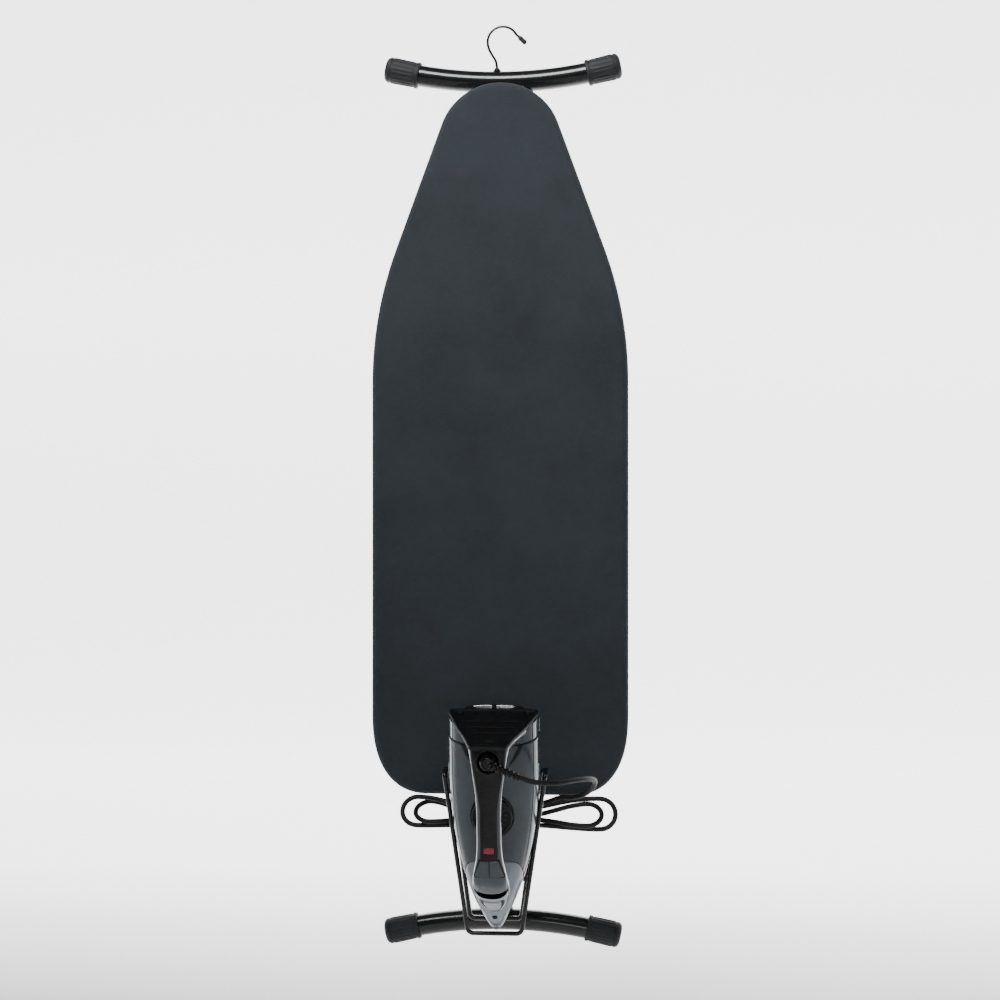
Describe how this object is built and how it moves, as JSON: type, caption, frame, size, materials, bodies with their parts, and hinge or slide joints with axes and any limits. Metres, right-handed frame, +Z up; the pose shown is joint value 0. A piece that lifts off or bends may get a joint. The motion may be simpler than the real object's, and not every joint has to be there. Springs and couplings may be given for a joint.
{
  "type": "folding ironing board set",
  "caption": "Compact ironing board folded flat and hung from its wire hook, with curved capped feet and a steam iron stored in a wire cage at its tail.",
  "frame": {"origin": "inner crest of the hook, where the rail it hangs from bears", "axes": "+Z up along the hanging board, -Y out of the ironing face, +X to the right seen from the ironing face"},
  "size_m": [0.334, 0.2666, 1.2204],
  "materials": {
    "cloth": "plain weave",
    "felt": "pressed felt",
    "black_coat": "gloss powder coat",
    "grey_coat": "satin powder coat",
    "zinc": "bright zinc",
    "steam_block": "as cast",
    "black_rubber": "satin",
    "black_plastic": "fine matt",
    "grey_gloss": "polished",
    "nose_grey": "polished",
    "sole_steel": "polished",
    "red_lens": "lens",
    "cord_black": "satin sheath"
  },
  "bodies": {
    "board": {"cover": "cloth", "pad": "felt", "mesh_top": "grey_coat", "rim": "black_coat", "hem_elastic": "black_rubber", "rail_left": "grey_coat", "rail_right": "grey_coat", "pivot_bracket": "grey_coat", "pivot_pin": "zinc", "lever_pin": "zinc", "lever_spring": "zinc", "cage_front_loop": "black_coat", "cage_rear_loop": "black_coat", "cage_crossbar": "black_coat", "cage_arm_left": "black_coat", "cage_arm_right": "black_coat", "cage_strap_lower": "grey_coat", "cage_strap_upper": "grey_coat"},
    "leg_a": {"leg_a_tube": "black_coat", "leg_a_plug": "black_plastic", "foot_a_tube": "black_coat", "foot_a_cap_left": "black_rubber", "foot_a_cap_right": "black_rubber"},
    "leg_b": {"leg_b_tube_left": "black_coat", "leg_b_tube_right": "black_coat", "slide_pin_left": "zinc", "slide_pin_right": "zinc", "glide_left": "black_plastic", "glide_right": "black_plastic", "spacer_left": "black_plastic", "spacer_right": "black_plastic", "centre_bolt": "zinc", "centre_nut": "zinc", "foot_b_tube": "black_coat", "foot_b_cap_left": "black_rubber", "foot_b_cap_right": "black_rubber", "hook_collar": "black_plastic"},
    "hook": {"hook_wire": "black_coat", "hook_tip": "black_rubber"},
    "release_lever": {"release_lever": "black_plastic"},
    "lifter": {"lifter_frame": "zinc"},
    "iron": {"soleplate": "sole_steel", "nose_cover": "nose_grey", "water_tank": "grey_gloss", "steam_chamber": "steam_block", "handle": "grey_gloss", "grip_inlay": "black_plastic", "pilot_lamp": "red_lens", "heel_plate": "black_plastic", "spray_nozzle": "black_plastic", "cord_hank": "cord_black", "cord_lead": "cord_black", "cord_tie": "black_rubber", "mains_plug": "black_rubber"},
    "steam_button": {"steam_button": "grey_gloss"},
    "spray_button": {"spray_button": "grey_gloss"},
    "temperature_dial": {"temperature_dial": "black_plastic"},
    "filler_flap": {"filler_flap": "nose_grey"},
    "cord_boot": {"cord_boot": "cord_black"}
  },
  "joints": [
    {"name": "leg_a_fold", "type": "hinge", "parent": "board", "child": "leg_a", "pos_m": [0, 0, -0.31675], "axis": [1, 0, 0], "range_deg": [0, 55]},
    {"name": "leg_b_fold", "type": "hinge", "parent": "leg_a", "child": "leg_b", "pos_m": [0, 0, -0.62675], "axis": [1, 0, 0], "range_deg": [-110, 0]},
    {"name": "hook_turn", "type": "hinge", "parent": "leg_b", "child": "hook", "pos_m": [-0.0077, 0, -0.04925], "axis": [0, 0, 1], "continuous": true},
    {"name": "release_squeeze", "type": "hinge", "parent": "board", "child": "release_lever", "pos_m": [0, -0.022, -0.95925], "axis": [1, 0, 0], "range_deg": [-14, 0]},
    {"name": "lifter_slide", "type": "slide", "parent": "board", "child": "lifter", "axis": [0, 1, 0], "range_m": [0, 0.005], "stiffness_N_per_m": 400},
    {"name": "iron_lift_out", "type": "slide", "parent": "board", "child": "iron", "axis": [0, -0.1392, 0.9903], "range_m": [0, 0.21]},
    {"name": "steam_button_press", "type": "slide", "parent": "iron", "child": "steam_button", "axis": [0, 0.9903, 0.1392], "range_m": [0, 0.003], "stiffness_N_per_m": 700},
    {"name": "spray_button_press", "type": "slide", "parent": "iron", "child": "spray_button", "axis": [0, 0.9903, 0.1392], "range_m": [0, 0.003], "stiffness_N_per_m": 700},
    {"name": "temperature_turn", "type": "hinge", "parent": "iron", "child": "temperature_dial", "pos_m": [0, -0.17458, -1.01947], "axis": [0, -0.9903, -0.1392], "range_deg": [0, 270]},
    {"name": "filler_open", "type": "hinge", "parent": "iron", "child": "filler_flap", "pos_m": [0, -0.15708, -1.13253], "axis": [1, 0, 0], "range_deg": [0, 60]},
    {"name": "cord_swivel", "type": "hinge", "parent": "iron", "child": "cord_boot", "pos_m": [0, -0.23474, -0.9435], "axis": [0, -0.9903, -0.1392], "range_deg": [-40, 40]}
  ],
  "couplings": [
    {"joint": "leg_b_fold", "follows": "leg_a_fold", "ratio": -2},
    {"joint": "release_squeeze", "follows": "lifter_slide", "rad_per_m": -48.8}
  ]
}
